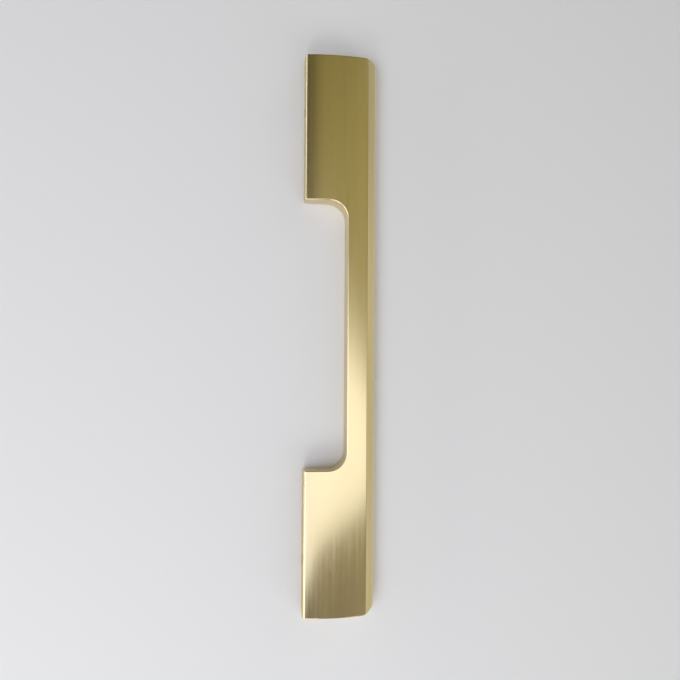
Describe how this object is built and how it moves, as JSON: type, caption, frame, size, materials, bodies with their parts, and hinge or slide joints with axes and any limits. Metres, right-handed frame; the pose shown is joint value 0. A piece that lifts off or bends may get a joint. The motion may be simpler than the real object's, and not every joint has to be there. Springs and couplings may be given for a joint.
{
  "type": "door pull handle",
  "caption": "One-piece brushed brass pull handle: two wide flat feet with tapped fixing holes, joined by a narrow grip with a bevelled, rounded front and a finger gap behind it.",
  "frame": {"origin": "midway between the two fixing holes, in the plane of the mounting faces", "axes": "+X along the handle; +Y out of the mounting faces, towards the door, so the handle stands out towards -Y; +Z across its width, up when the handle is fixed level and also when it lies on its side"},
  "size_m": [0.24, 0.031, 0.01],
  "materials": {
    "brushed_brass": "brushed along the length, satin"
  },
  "bodies": {
    "root": {"pull_handle": "brushed_brass"}
  },
  "joints": []
}
